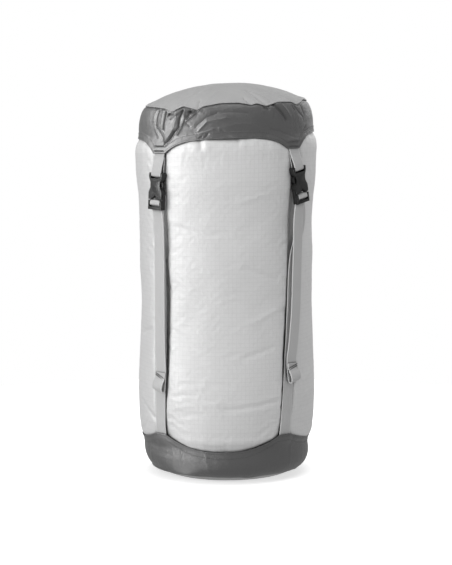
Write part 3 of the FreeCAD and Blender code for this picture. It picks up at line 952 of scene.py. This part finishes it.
def make_dome():
    crown = 0.0252

    def rim(azimuth):
        return lid_radius(seam_height(azimuth)) - 0.3 * MM

    def height(azimuth, t):
        turns = azimuth / (2 * math.pi)
        top = DOME_HIGH.z - 0.8 * MM
        edge = seam_height(azimuth) + 0.2 * MM
        round_shape = top - crown * t ** 2.3
        plain_edge = top - crown
        z = round_shape + (edge - plain_edge) * smoothstep(0.80, 1.0, t) * t ** 6
        swell = 1.1 * MM * ripple(turns, t, 9, 0.42, 61) * smoothstep(0.05, 0.4, t)
        small = 0.35 * MM * ripple(turns, t, 30, 0.16, 62) * smoothstep(0.3, 0.6, t)
        pucker = 0.7 * MM * ripple(turns, t, 84, 0.9, 63) * smoothstep(0.86, 0.985, t)
        fade = 1 - smoothstep(0.97, 1.0, t)
        relief = dome_relief(azimuth, rim(azimuth) * t) * (1 - 0.6 * smoothstep(0.985, 1.0, t))
        return z + (swell + small) * fade + pucker * fade + relief

    piece = disc("lid_top", rim, height, 130, 900, 0.8 * MM, -1)
    lean_with_lid(piece)
    finish_piece(piece, END_CLOTH, "lid", ["lid_panel"])
    line_azimuth = around(900)
    line_t = np.full_like(line_azimuth, 0.972)
    row = seam_stitches("lid_seam_thread", line_azimuth, rim(line_azimuth) * line_t,
                        height(line_azimuth, line_t) + 0.15 * MM, 3.0 * MM, 2.2 * MM, 0.24 * MM)
    lean_with_lid(row)
    finish_piece(row, GREY_THREAD, "lid")
    low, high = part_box("lid_binding")
    piping = make_piping("lid_seam_binding", (low.z + high.z) / 2 - 1.5 * MM, high.x - 2.0 * MM,
                         1.2 * MM, 64)
    lean_with_lid(piping)
    finish_piece(piping, TAPE_CLOTH, "lid", ["lid_binding"])


# ---- straps ------------------------------------------------------------------------------
WEB_HALF = 0.0080
WEB_THICK = 0.0013
UP = Vector((0, 0, 1))


def outward(azimuth):
    return Vector((math.sin(azimuth), -math.cos(azimuth), 0))


def rightward(azimuth):
    return Vector((math.cos(azimuth), math.sin(azimuth), 0))


def webbing_strip(name, path, waves=0.0, seed=1):
    """Webbing along (azimuth, sideways, radius, height, lean) points, smoothly joined."""
    knots = np.array(path, float)
    steps = np.hypot(np.diff(knots[:, 2]), np.diff(knots[:, 3])) + 1e-5
    distance = np.concatenate([[0], np.cumsum(steps)])
    count = max(24, int(distance[-1] / 0.0011))
    at = np.linspace(0, distance[-1], count)
    azimuth, side, radius, height, lean = (
        smooth_curve(list(zip(distance, column)))(at) for column in knots.T)
    slack = waves * ripple(at * 0.0, at, 3, 0.034, seed) * np.sin(np.pi * at / distance[-1])
    radius = radius + slack
    dr, dz = np.gradient(radius, at), np.gradient(height, at)
    length = np.hypot(dr, dz)
    half_t = WEB_THICK / 2
    top = [(-1.0, 0.0), (-0.985, 0.75), (-0.93, 1.0), (-0.80, 0.86), (-0.4, 0.92), (0, 0.95),
           (0.4, 0.92), (0.80, 0.86), (0.93, 1.0), (0.985, 0.75)]
    section = top + [(-u, -v) for u, v in top]
    verts = []
    cloth = []
    for k in range(count):
        out = outward(azimuth[k])
        right = rightward(azimuth[k])
        tilt = math.radians(lean[k])
        across = right * math.cos(tilt) + UP * math.sin(tilt)
        normal = out * (dz[k] / length[k]) - UP * (dr[k] / length[k])
        middle = out * radius[k] + right * side[k] + UP * height[k]
        for u, v in section:
            verts.append(middle + across * (u * WEB_HALF) + normal * (v * half_t))
            cloth.append((u * WEB_HALF, at[k], v))
    return mesh_object(name, verts, prism_faces(len(section), count), cloth)


def bar_tack(name, azimuth, side, radius, height, lean, depth, rows, width=0.0150):
    """Dense zigzag stitching that closes a fold of webbing."""
    out = outward(azimuth)
    tilt = math.radians(lean)
    across = rightward(azimuth) * math.cos(tilt) + UP * math.sin(tilt)
    along = across.cross(out)
    middle = out * radius + rightward(azimuth) * side + UP * height
    pitch = width / rows
    centres = [middle + across * (width * ((k + 0.5) / rows - 0.5)) for k in range(rows)]
    directions = [(along * depth + across * (pitch if k % 2 else -pitch)).normalized()
                  for k in range(rows)]
    return stitches(name, centres, directions, [out] * rows, max(depth, pitch) * 1.15, 0.42 * MM)


BUCKLE_LENGTH = 0.0425
BUCKLE_THICK = 0.0070
BUCKLE_BACK = 0.1085
WEB_ROD = 0.0404


def buckle_base(name):
    """Height of the buckle's lower end, from the frame."""
    strap = STRAPS[name]
    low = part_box("buckle_plug_" + name)[0].z
    return low + 0.011 * math.sin(math.radians(abs(strap["lean"])))


def on_buckle(name, along, out):
    strap = STRAPS[name]
    tilt = math.radians(strap["lean"])
    middle = BUCKLE_LENGTH / 2
    rise = along - middle
    height = buckle_base(name) + middle + rise * math.cos(tilt)
    return (HANG[name], -rise * math.sin(tilt), BUCKLE_BACK + out, height, strap["lean"])


def make_strap(name):
    strap = STRAPS[name]
    foot = strap["base"]
    hang = HANG[name]
    lean = strap["lean"]
    plug = "plug_" + name
    path = [(foot, 0, 0.0972, 0.034, 0), (foot, 0, 0.0980, 0.040, 0), (foot, 0, 0.1024, 0.049, 0)]
    for height, radius in ((0.060, 0.1046), (0.095, 0.1062), (0.150, 0.1058), (0.206, 0.1056),
                           (0.260, 0.1066)):
        path.append((strap_azimuth(name, "run", height), 0, radius, height, 0))
    path += [on_buckle(name, -0.012, 0.0010), on_buckle(name, 0, 0.0014),
             on_buckle(name, 0.0085, 0.0014)]
    anchored = webbing_strip("anchored_strap_" + name, path, waves=0.0006, seed=70 + len(name))
    finish_piece(anchored, WEBBING, ("sack", plug, WALL_FIXED_Z, buckle_base(name) - 0.020),
                 ["base_strap_" + name])

    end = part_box("strap_tail_" + name)[0].z - 0.3 * MM
    ladder = [(0.0105, 0.0036), (0.0108, 0.0046), (0.0104, 0.0058), (0.0094, 0.0062),
              (0.0056, 0.0061), (0.0050, 0.0050), (0.0046, 0.0039), (0.0036, 0.0032)]
    path = [on_buckle(name, along, out) for along, out in ladder]
    low = on_buckle(name, 0.0, 0.0)
    pull = low[1] * 0.4
    path.append((hang, pull, BUCKLE_BACK + 0.0031, low[3], lean * 0.6))
    path.append((hang * 0.4 + strap_azimuth(name, "tail", low[3]) * 0.6, 0, BUCKLE_BACK + 0.0036,
                 low[3] - 0.012, lean * 0.2))
    for share in (0.25, 0.5, 0.75):
        height = low[3] - 0.012 + (end + 0.045 - low[3] + 0.012) * share
        path.append((strap_azimuth(name, "tail", height), 0, BUCKLE_BACK + 0.0034, height, 0))
    path.append((strap_azimuth(name, "tail", end + 0.045), 0, BUCKLE_BACK + 0.0030, end + 0.045, 0))
    swing = strap_azimuth(name, "tail", end + 0.02)
    fold = [(0.0019, 0.0230), (0.0016, 0.0165), (0.0012, 0.0100), (0.0010, 0.0045),
            (0.0026, 0.0012), (0.0050, 0.0012), (0.0068, 0.0045), (0.0064, 0.0100),
            (0.0042, 0.0150), (0.0033, 0.0185), (0.0036, 0.0225)]
    for out, rise in fold:
        share = 1 - min(rise, 0.021) / 0.021
        path.append((swing, strap["kick"] * MM * share, BUCKLE_BACK + out, end + rise,
                     strap["turn"] * min(1.0, share * 1.6)))
    tail = webbing_strip("free_strap_" + name, path)
    finish_piece(tail, WEBBING, plug, ["strap_tail_" + name])
    # Two bar tacks in dark thread: their dark colour is painted shade for the shadow lines either
    # side of the fold's stitching.
    for step in (-1, 1):
        tack = bar_tack(f"tail_shade_tack_{name}_{'low' if step < 0 else 'high'}", swing, 0,
                        BUCKLE_BACK + 0.0043, end + 0.0178 + step * 0.0011, strap["tack"],
                        depth=0.0003, rows=11)
        finish_piece(tack, DARK_THREAD_AND_TACK_SHADE, plug)

    rod_out = BUCKLE_THICK / 2
    reach = 0.0016 + 0.0003 + WEB_THICK / 2
    tab = strap["lid"]
    tab_drop = LID_TILT * WALL_R * math.sin(tab)
    under = LID_HEM_TAB + tab_drop
    path = [(tab, 0, 0.1074, under + 0.009, 0), (tab, 0, 0.1086, under + 0.003, 0),
            (tab * 0.85 + hang * 0.15, 0, 0.1098, under - 0.004, lean * 0.3),
            on_buckle(name, WEB_ROD + 0.003, rod_out + reach - 0.0003)]
    for step in range(1, 8):
        angle = math.radians(180 * step / 8)
        path.append(on_buckle(name, WEB_ROD - reach * math.sin(angle),
                              rod_out + reach * math.cos(angle)))
    path.append(on_buckle(name, WEB_ROD + 0.003, rod_out - reach + 0.0002))
    path.append((tab * 0.85 + hang * 0.15, 0, 0.1084, under - 0.004, lean * 0.3))
    loop = webbing_strip("lid_strap_" + name, path)
    finish_piece(loop, WEBBING, "lid", ["lid_loop_" + name])
    for row, rise in enumerate((0.0028, 0.0085)):
        radius = float(lid_surface(np.array([tab]), np.array([LID_HEM_TAB + rise]))[0])
        height = LID_HEM_TAB + rise + tab_drop
        tack = bar_tack(f"lid_tab_tack_{name}_{row}", tab, 0, max(radius, 0.1098) + 0.3 * MM,
                        height, 0, depth=0.0018, rows=13)
        finish_piece(tack, DARK_THREAD_AND_TACK_SHADE, "lid")


# ---- buckles -----------------------------------------------------------------------------
def plate(outline, depth):
    """Closed outline of (across, along) points in mm between two distances outwards."""
    verts = [(x * MM, out * MM, z * MM) for out in depth for x, z in outline]
    return mesh_object("plate", verts, prism_faces(len(outline)), smooth=False)


def brick(x, out, z):
    return plate([(x[0], z[0]), (x[1], z[0]), (x[1], z[1]), (x[0], z[1])], out)


def rod(radius, half_length, out, z):
    verts = [(x * MM, (out + radius * math.cos(angle)) * MM, (z + radius * math.sin(angle)) * MM)
             for x in (-half_length, half_length) for angle in turn_steps(20)]
    return mesh_object("rod", verts, prism_faces(20), smooth=False)


def combine(base, others, operation):
    """Boolean of meshes, the others removed afterwards."""
    for other in others:
        bpy.context.view_layer.update()
        baked(base, "BOOLEAN", object=other, operation=operation, solver="EXACT")
        bpy.data.objects.remove(other)
    return base


def soften(piece, width):
    """Rounded moulded edges."""
    baked(piece, "BEVEL", width=width * MM, segments=3, limit_method="ANGLE",
          angle_limit=math.radians(32), use_clamp_overlap=True)
    piece.data.polygons.foreach_set("use_smooth", [True] * len(piece.data.polygons))
    return baked(piece, "WEIGHTED_NORMAL", keep_sharp=True)


def arc(cx, cz, radius, start, end, steps):
    """Points of an arc in mm, angles in degrees."""
    angles = np.radians(np.linspace(start, end, steps + 1))
    return [(cx + radius * math.cos(angle), cz + radius * math.sin(angle)) for angle in angles]


def mirrored(right_side):
    """Outline from its right half, listed from the bottom up."""
    return right_side + [(-x, z) for x, z in reversed(right_side)]


def socket_mesh():
    waist = [(10.9, 12.4), (11.0, 19.0), (10.4, 21.4), (9.0, 23.6), (8.0, 26.0), (7.8, 28.5),
             (8.1, 31.0), (9.0, 33.4), (10.2, 35.6), (11.0, 38.0)]
    ear = arc(9.8, 41.2, 1.3, 0, 90, 4)
    sleeve = plate(mirrored([(10.4, 11.8)] + waist + ear), (0, 7.0))
    cuts = [brick((-8.8, 8.8), (1.1, 5.3), (5, 35)), brick((-13, 13), (-1, 5.3), (5, 17.4)),
            plate([(-6.8, 10), (6.8, 10), (6.8, 11.6), (0, 16.4), (-6.8, 11.6)], (4.9, 8.0)),
            brick((-8.5, 8.5), (-1, 8), (36, 46))]
    combine(sleeve, cuts, "DIFFERENCE")
    rib = plate([(-9.6, 12.6), (-6.6, 12.6), (0, 17.6), (6.6, 12.6), (9.6, 12.6), (9.6, 13.5),
                 (6.9, 13.5), (0, 19.0), (-6.9, 13.5), (-9.6, 13.5)], (6.6, 7.4))
    panel = plate(mirrored([(4.6, 21.4), (4.0, 26.0), (3.9, 29.0), (4.6, 33.6)]), (6.7, 7.3))
    combine(sleeve, [rib, panel, rod(1.6, 9.2, 3.5, 40.4)], "UNION")
    return soften(sleeve, 0.35)


def plug_mesh():
    body = brick((-11, 11), (4.2, 7.0), (0, 3.0))
    parts = [brick((-9, 9), (2.9, 5.0), (6.0, 9.4)), brick((-11, 11), (0.5, 4.7), (13.0, 17.0)),
             brick((-1.5, 1.5), (2.0, 4.6), (16.0, 34.5))]
    for side in (-1, 1):
        x = sorted((side * 8.6, side * 11.0))
        parts.append(brick(x, (0.5, 7.0), (0, 10.7)))
        parts.append(brick(x, (0.5, 4.7), (10.0, 17.0)))
    for k in range(3):
        parts.append(rod(0.35, 8.0, 7.0, 0.7 + 0.8 * k))
    combine(body, parts, "UNION")
    return soften(body, 0.35)


def arm_mesh(side):
    outline = [(4.2, 17.5), (7.2, 17.5), (8.2, 21), (8.3, 23.4), (9.6, 24.9), (10.4, 26.6),
               (10.6, 28.4), (10.4, 30.3), (9.6, 31.6), (8.3, 32.6), (8.2, 34.3), (5.2, 34.3),
               (6.4, 31), (6.2, 25), (4.2, 20.5)]
    points = [(side * x, z) for x, z in outline]
    if side < 0:
        points.reverse()
    arm = plate(points, (1.6, 4.8))
    ridges = [brick(sorted((side * 10.0, side * 10.9)), (2.2, 4.2), (z, z + 0.7))
              for z in (26.4, 28.0, 29.6)]
    combine(arm, ridges, "UNION")
    return soften(arm, 0.3)


def place_on_buckle(piece, name):
    """Move a buckle part from its own directions to where the frame has it."""
    tilt = math.radians(STRAPS[name]["lean"])
    out, right = outward(HANG[name]), rightward(HANG[name])
    middle = BUCKLE_LENGTH / 2
    base = buckle_base(name)
    for vertex in piece.data.vertices:
        x, y, z = vertex.co
        rise = z - middle
        across = x * math.cos(tilt) - rise * math.sin(tilt)
        height = base + middle + x * math.sin(tilt) + rise * math.cos(tilt)
        vertex.co = right * across + out * (BUCKLE_BACK + y) + UP * height
    piece.data.flip_normals()
    piece.data.update()


def make_buckles():
    masters = {"socket": socket_mesh(), "plug": plug_mesh(), "arm_left": arm_mesh(-1),
               "arm_right": arm_mesh(1)}
    for name in STRAP_NAMES:
        for part, master in masters.items():
            piece = bpy.data.objects.new(f"clip_{part}_{name}", master.data.copy())
            bpy.context.scene.collection.objects.link(piece)
            place_on_buckle(piece, name)
            finish_piece(piece, BLACK_PLASTIC, "lid" if part == "socket" else f"{part}_{name}",
                         [f"buckle_{part}_{name}"])
    for master in masters.values():
        bpy.data.objects.remove(master)


# ---- gathered mouth ----------------------------------------------------------------------
def make_mouth():
    """Pleated cloth drawn in to the neck, and the channel ruffle round the cord."""
    neck_r = -NECK_LOW.x - 0.009
    t, azimuth = table(np.linspace(0, 1, 90), around(900))
    turns = azimuth / (2 * math.pi)
    radius = COLLAR_HIGH.x + (neck_r - COLLAR_HIGH.x) * t
    dome = COLLAR_LOW.z + 1.3 * MM + (COLLAR_HIGH.z - COLLAR_LOW.z - 2.4 * MM) * (
        1 - (radius / COLLAR_HIGH.x) ** 2)
    gather = smoothstep(0.05, 0.95, t)
    pleats = 0.5 + 0.5 * np.cos(azimuth * 30 + 1.3 * ripple(turns, t, 30, 0.5, 81))
    fine = ripple(turns, t, 110, 0.6, 82)
    z = dome + gather * (0.9 * MM * pleats + 0.35 * MM * fine) - 0.7 * MM * gather
    collar = skin("mouth_cloth", azimuth, radius, z, 0.4 * MM, along=radius)
    lean_with_lid(collar)
    finish_piece(collar, MOUTH_CLOTH, "mouth", ["mouth_collar"])

    mid_z = (NECK_LOW.z + NECK_HIGH.z) / 2
    tube_r = (NECK_HIGH.z - NECK_LOW.z) / 2 - 0.3 * MM
    ring_r = NECK_HIGH.x - tube_r
    gap = 0.17
    turn, azimuth = table(np.linspace(0, 2 * math.pi, 29),
                          np.linspace(gap, 2 * math.pi - gap, 700))
    turns = azimuth / (2 * math.pi)
    ruffle = 1 - 0.16 * (0.5 + 0.5 * np.cos(azimuth * 30)) + 0.05 * ripple(turns, turn, 90, 2.0, 83)
    radius = ring_r + tube_r * ruffle * np.cos(turn)
    z = mid_z - tube_r * ruffle * np.sin(turn)
    channel = skin("mouth_channel", azimuth, radius, z, 0.4 * MM, along=turn * tube_r)
    lean_with_lid(channel)
    finish_piece(channel, MOUTH_CLOTH, "mouth", ["drawcord_channel"])


# ---- build -------------------------------------------------------------------------------
make_wall()
make_back_seam()
make_base()
make_lid_ring()
make_dome()
for strap_name in STRAP_NAMES:
    make_strap(strap_name)
make_buckles()
make_mouth()
for node_name, finish in (("drawcord", CORD_BRAID), ("cord_lock_barrel", LOCK_PLASTIC),
                          ("cord_lock_plunger", LOCK_PLASTIC), ("cord_lock_spring", SPRING_WIRE)):
    node_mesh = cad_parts[node_name].data
    node_mesh.materials.clear()
    node_mesh.materials.append(finish)


# ---- floor, light and camera ---------------------------------------------------------------
def studio_glow(name, strength):
    material = bpy.data.materials.new(name)
    material.use_nodes = True
    tree = material.node_tree
    tree.nodes.clear()
    emission = tree.nodes.new("ShaderNodeEmission")
    emission.inputs["Strength"].default_value = strength
    output = tree.nodes.new("ShaderNodeOutputMaterial")
    tree.links.new(emission.outputs[0], output.inputs["Surface"])
    return material


def make_stage():
    look = Look("studio_floor", 0.86, 0.9, 0.1)
    # Painted light and shade: the floor glows white from 15 cm out and only half as much next to
    # the sack, which leaves a dimmer ring round the sack's foot.
    distance = look.add("VectorMath", {0: look.place()}, "Value", operation="LENGTH")
    look.set(**{"Emission Color": 1.0, "Emission Strength": look.ramp(
        distance, 0.085, 0.15, 0.50, 1.0, "SMOOTHSTEP")})
    rim = [(0.75 * math.sin(turn), -0.75 * math.cos(turn), 0)
           for turn in turn_steps(96)]
    floor = mesh_object("studio_floor", rim, [tuple(range(96))], smooth=False)
    floor.data.materials.append(look.material)
    polar, turn = table(np.linspace(0, math.pi, 25), turn_steps(48))
    dome = round_grid(turn, 9.0 * np.sin(polar), 9.0 * np.cos(polar)).reshape(-1, 3)
    surround = mesh_object("studio_surround", dome, grid_faces(25, 48, True))
    surround.data.materials.append(studio_glow("studio_white", 1.0))
    card = mesh_object("studio_card", [(-0.75, -0.75, 0.001), (-0.12, -0.75, 0.001),
                                       (-0.04, -0.11, 0.001), (-0.05, -0.07, 0.001),
                                       (-0.12, -0.07, 0.001), (-0.75, -0.10, 0.001)],
                       [(0, 1, 2, 3, 4, 5)], smooth=False)
    card.data.materials.append(studio_glow("studio_card_white", 1.4))
    for piece, kinds in ((surround, ("diffuse", "glossy", "transmission", "shadow")),
                         (floor, ("glossy", "diffuse")),
                         (card, ("camera", "diffuse", "shadow"))):
        for kind in kinds:
            setattr(piece, "visible_" + kind, False)
    world = bpy.data.worlds.new("studio")
    world.use_nodes = True
    background = world.node_tree.nodes["Background"]
    background.inputs["Color"].default_value = (1, 1, 1, 1)
    background.inputs["Strength"].default_value = 0.48
    bpy.context.scene.world = world


def make_light(name, azimuth, elevation, distance, size, power, diffuse, glossy):
    light = bpy.data.lights.new(name, "AREA")
    light.shape = "RECTANGLE"
    light.size, light.size_y = size
    light.energy = power
    lamp = bpy.data.objects.new(name, light)
    bpy.context.scene.collection.objects.link(lamp)
    a, e = math.radians(azimuth), math.radians(elevation)
    aim = Vector((0, 0, 0.24))
    lamp.visible_diffuse = diffuse
    lamp.visible_glossy = glossy
    place = Vector((math.sin(a) * math.cos(e), -math.cos(a) * math.cos(e), math.sin(e)))
    lamp.location = aim + place * distance
    lamp.rotation_euler = (aim - lamp.location).to_track_quat("-Z", "Y").to_euler()


def make_camera():
    camera = bpy.data.cameras.new("camera")
    camera.lens = 110.9
    camera.sensor_width = 36.0
    camera.dof.use_dof = False
    eye = bpy.data.objects.new("camera", camera)
    bpy.context.scene.collection.objects.link(eye)
    aim = Vector((0, 0, 0.228))
    rise = math.radians(5.3)
    distance = 2.1
    eye.location = aim + Vector((0, -math.cos(rise), math.sin(rise))) * distance
    eye.rotation_euler = (aim - eye.location).to_track_quat("-Z", "Y").to_euler()
    bpy.context.scene.camera = eye


make_stage()
for lamp_facts in (("key", -71, 12, 2.0, (0.50, 1.9), 37.0, False, True),
                   ("side", -95, 32, 1.8, (0.6, 0.9), 13.0, False, True),
                   ("soft_key", -42, 20, 2.0, (0.7, 1.6), 16.5, True, False),
                   ("front", 28, 16, 2.4, (1.1, 1.6), 4.2, True, False),
                   ("top", 10, 78, 1.8, (1.2, 1.2), 6.0, True, True),
                   ("fill", 150, 24, 2.2, (1.2, 1.4), 7.0, True, True)):
    make_light(*lamp_facts)
make_camera()
bpy.context.scene.view_settings.view_transform = "Standard"
